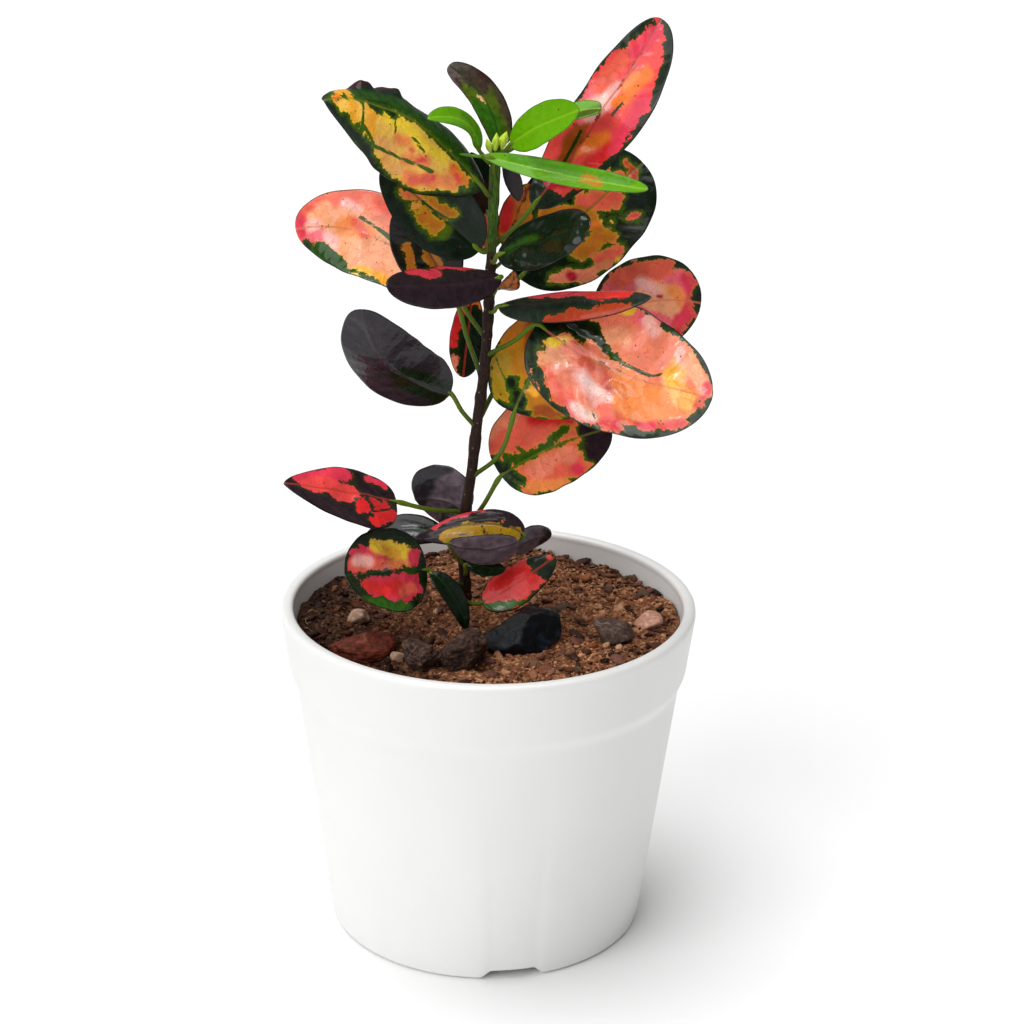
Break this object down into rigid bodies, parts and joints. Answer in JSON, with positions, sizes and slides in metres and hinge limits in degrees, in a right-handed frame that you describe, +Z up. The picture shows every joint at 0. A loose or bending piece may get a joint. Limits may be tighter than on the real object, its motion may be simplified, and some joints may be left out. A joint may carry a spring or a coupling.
{
  "type": "potted croton",
  "caption": "Croton house plant: one upright woody stem with large rounded leaves blotched red, coral, yellow and dark green, growing in a round tapered white plastic pot.",
  "frame": {"origin": "on the ground, on the pot's axis", "axes": "+Z up along the pot's axis, -Y the front that faces the viewer, +X to the viewer's right"},
  "size_m": [0.15, 0.15, 0.3301],
  "materials": {
    "pot_plastic": "white moulded polypropylene, satin",
    "potting_mix": "moist brown coconut coir and fine bark mix, crumbly and matt",
    "woody_stem": "dark brown bark below, green and smooth near the top, with leaf scars",
    "leaf_flame": "waxy leaf, red and pink patches between dark green veins and margin",
    "leaf_coral": "waxy leaf, coral, peach and pink blade with a dark green margin",
    "leaf_amber": "waxy leaf, yellow and orange blotches between dark green veins and margin",
    "leaf_lime": "young waxy leaf, bright green",
    "leaf_forest": "glossy dark green leaf with small warm patches",
    "leaf_plum": "glossy purple-brown leaf with crimson patches",
    "leaf_slate": "satin charcoal-purple underside of a leaf",
    "charcoal": "black charcoal-coloured stone, faceted, slightly shiny",
    "red_bark": "red-brown bark chip, matt",
    "dark_bark": "dark crumbly bark, matt",
    "grey_stone": "grey-brown stone, matt",
    "pink_stone": "pale pink pebble, matt",
    "pale_stone": "pale tan pebble, matt"
  },
  "bodies": {
    "root": {"pot": "pot_plastic", "soil": "potting_mix", "stem": "woody_stem", "leaf_crown_left": "leaf_amber", "leaf_crown_spear": "leaf_forest", "leaf_young_left": "leaf_lime", "leaf_young_right": "leaf_lime", "leaf_young_far": "leaf_lime", "leaf_young_strap": "leaf_lime", "leaf_young_chip": "leaf_lime", "leaf_crown_flame": "leaf_flame", "leaf_right_round": "leaf_amber", "leaf_right_gloss": "leaf_forest", "leaf_left_pink": "leaf_coral", "leaf_left_dusk": "leaf_forest", "leaf_left_tobacco": "leaf_plum", "leaf_left_plum": "leaf_plum", "leaf_left_slate": "leaf_slate", "leaf_back_red": "leaf_flame", "leaf_right_boat": "leaf_plum", "leaf_right_coral": "leaf_coral", "leaf_front_great": "leaf_coral", "leaf_right_amber": "leaf_amber", "leaf_low_right": "leaf_amber", "leaf_low_left": "leaf_flame", "leaf_back_slate": "leaf_slate", "leaf_low_black": "leaf_slate", "leaf_low_round": "leaf_flame", "leaf_low_drop": "leaf_forest", "leaf_low_boat": "leaf_plum", "leaf_low_plum": "leaf_plum", "leaf_low_mauve": "leaf_plum", "leaf_low_flame": "leaf_flame", "leaf_low_green": "leaf_forest", "leaf_back_amber": "leaf_flame", "leaf_back_black": "leaf_forest", "leaf_back_pink": "leaf_coral", "leaf_core_orange": "leaf_amber", "leaf_core_dark": "leaf_forest", "charcoal_stone": "charcoal", "red_bark_chip": "red_bark", "dark_bark_left": "dark_bark", "dark_bark_right": "dark_bark", "grey_stone": "grey_stone", "pink_pebble": "pink_stone", "pale_stone": "pale_stone", "tan_pebble": "pale_stone"}
  },
  "joints": []
}
